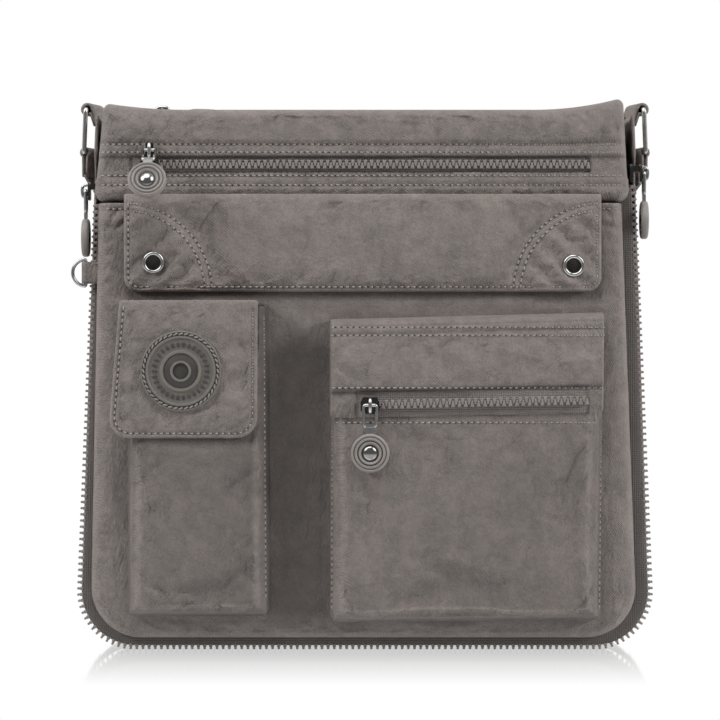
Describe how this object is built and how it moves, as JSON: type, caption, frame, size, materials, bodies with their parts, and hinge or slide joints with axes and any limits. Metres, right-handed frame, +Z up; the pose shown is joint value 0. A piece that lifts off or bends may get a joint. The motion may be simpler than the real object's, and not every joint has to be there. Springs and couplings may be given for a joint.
{
  "type": "messenger bag",
  "caption": "Expandable crossbody messenger bag with a zip-round bellows, zipped yoke pocket, wide front flap, flap pocket, zip pocket, strap rings and folded strap.",
  "frame": {"origin": "on the standing surface, at the middle of the bag's width, on the flat base of the rear gusset", "axes": "+X to the right seen from the front (the bag's width), +Y to the back panel, +Z up"},
  "size_m": [0.2948, 0.1209, 0.2779],
  "materials": {
    "nylon": "crinkled taupe nylon, fine twill weave, low sheen",
    "lining": "darker taupe nylon, matte",
    "zip_tape": "woven polyester zip tape",
    "zip_teeth": "moulded acetal teeth in the bag's colour",
    "metal": "polished nickel plate",
    "rubber": "moulded soft rubber, satin",
    "hook_and_loop": "hook and loop tape"
  },
  "bodies": {
    "back_half": {"back_panel": "lining", "rear_gusset": "nylon", "rear_zip_tape": "zip_tape", "rear_zip_teeth": "zip_teeth", "top_panel": "nylon", "yoke_pocket": "nylon", "yoke_zip_tape": "zip_tape", "yoke_zip_teeth": "zip_teeth", "main_zip_tape": "zip_tape", "main_zip_teeth": "zip_teeth", "strap_loop_left": "nylon", "strap_loop_right": "nylon", "flap_seam": "nylon", "expansion_slider_left": "metal", "expansion_slider_right": "metal", "strap_run_left": "nylon", "strap_run_right": "nylon", "strap_bundle": "nylon", "strap_adjuster": "metal"},
    "left_strap_ring": {"strap_ring_left": "metal", "strap_end_left": "nylon"},
    "right_strap_ring": {"strap_ring_right": "metal", "strap_end_right": "nylon"},
    "key_ring": {"d_ring": "metal"},
    "front_half": {"front_wall": "lining", "front_panel": "nylon", "front_zip_tape": "zip_tape", "front_zip_teeth": "zip_teeth", "ring_tab": "nylon", "bellows": "lining", "phone_pocket": "nylon", "phone_flap_root": "nylon", "pocket_hook_patch": "hook_and_loop", "zip_pocket": "nylon", "zip_pocket_header": "nylon", "pocket_zip_tape": "zip_tape", "pocket_zip_teeth": "zip_teeth"},
    "main_flap_body": {"main_flap": "nylon", "corner_patch_left": "nylon", "corner_patch_right": "nylon", "flap_eyelets": "metal"},
    "phone_flap_body": {"phone_flap": "nylon", "rubber_badge": "rubber", "flap_loop_patch": "hook_and_loop"},
    "yoke_slider_body": {"yoke_slider": "metal"},
    "yoke_pull": {"yoke_pull_link": "metal", "yoke_pull_disc": "rubber"},
    "pocket_slider_body": {"pocket_slider": "metal"},
    "pocket_pull": {"pocket_pull_link": "metal", "pocket_pull_disc": "rubber"},
    "main_slider_body": {"main_slider": "metal"},
    "main_pull": {"main_pull_link": "metal", "main_pull_disc": "rubber"},
    "left_expansion_pull": {"expansion_pull_left_link": "metal", "expansion_pull_left_disc": "rubber"},
    "right_expansion_pull": {"expansion_pull_right_link": "metal", "expansion_pull_right_disc": "rubber"}
  },
  "joints": [
    {"name": "expansion_fold", "type": "hinge", "parent": "back_half", "child": "front_half", "pos_m": [0, -0.04, 0.236], "axis": [1, 0, 0], "range_deg": [0, 6.5]},
    {"name": "main_flap_hinge", "type": "hinge", "parent": "back_half", "child": "main_flap_body", "pos_m": [0, -0.0536, 0.2266], "axis": [-1, 0, 0], "range_deg": [0, 72]},
    {"name": "phone_flap_hinge", "type": "hinge", "parent": "front_half", "child": "phone_flap_body", "pos_m": [-0.09, -0.0689, 0.1735], "axis": [-1, 0, 0], "range_deg": [0, 110]},
    {"name": "left_ring_swing", "type": "hinge", "parent": "back_half", "child": "left_strap_ring", "pos_m": [-0.1412, 0.012, 0.2745], "axis": [0.2588, 0.9659, 0], "range_deg": [0, 80]},
    {"name": "right_ring_swing", "type": "hinge", "parent": "back_half", "child": "right_strap_ring", "pos_m": [0.1412, 0.012, 0.2745], "axis": [0.2588, -0.9659, 0], "range_deg": [0, 80]},
    {"name": "d_ring_swing", "type": "hinge", "parent": "front_half", "child": "key_ring", "pos_m": [-0.14, -0.0434, 0.1888], "axis": [0, 0, 1], "range_deg": [0, 110]},
    {"name": "yoke_zip_slide", "type": "slide", "parent": "back_half", "child": "yoke_slider_body", "axis": [1, 0, 0], "range_m": [0, 0.21]},
    {"name": "yoke_pull_swing", "type": "hinge", "parent": "yoke_slider_body", "child": "yoke_pull", "pos_m": [-0.1075, -0.05575, 0.2495], "axis": [-1, 0, 0], "range_deg": [0, 80]},
    {"name": "pocket_zip_slide", "type": "slide", "parent": "front_half", "child": "pocket_slider_body", "axis": [1, 0, 0], "range_m": [0, 0.1]},
    {"name": "pocket_pull_swing", "type": "hinge", "parent": "pocket_slider_body", "child": "pocket_pull", "pos_m": [0.0025, -0.07175, 0.1224], "axis": [-1, 0, 0], "range_deg": [0, 140]},
    {"name": "main_zip_slide", "type": "slide", "parent": "back_half", "child": "main_slider_body", "axis": [1, 0, 0], "range_m": [0, 0.208]},
    {"name": "main_pull_swing", "type": "hinge", "parent": "main_slider_body", "child": "main_pull", "pos_m": [-0.104, -0.005, 0.27275], "axis": [0, -1, 0], "range_deg": [0, 150]},
    {"name": "left_expansion_pull_swing", "type": "hinge", "parent": "back_half", "child": "left_expansion_pull", "pos_m": [-0.1407, -0.036, 0.23], "axis": [0, 1, 0], "range_deg": [0, 80]},
    {"name": "right_expansion_pull_swing", "type": "hinge", "parent": "back_half", "child": "right_expansion_pull", "pos_m": [0.1407, -0.036, 0.239], "axis": [0, -1, 0], "range_deg": [0, 80]}
  ]
}
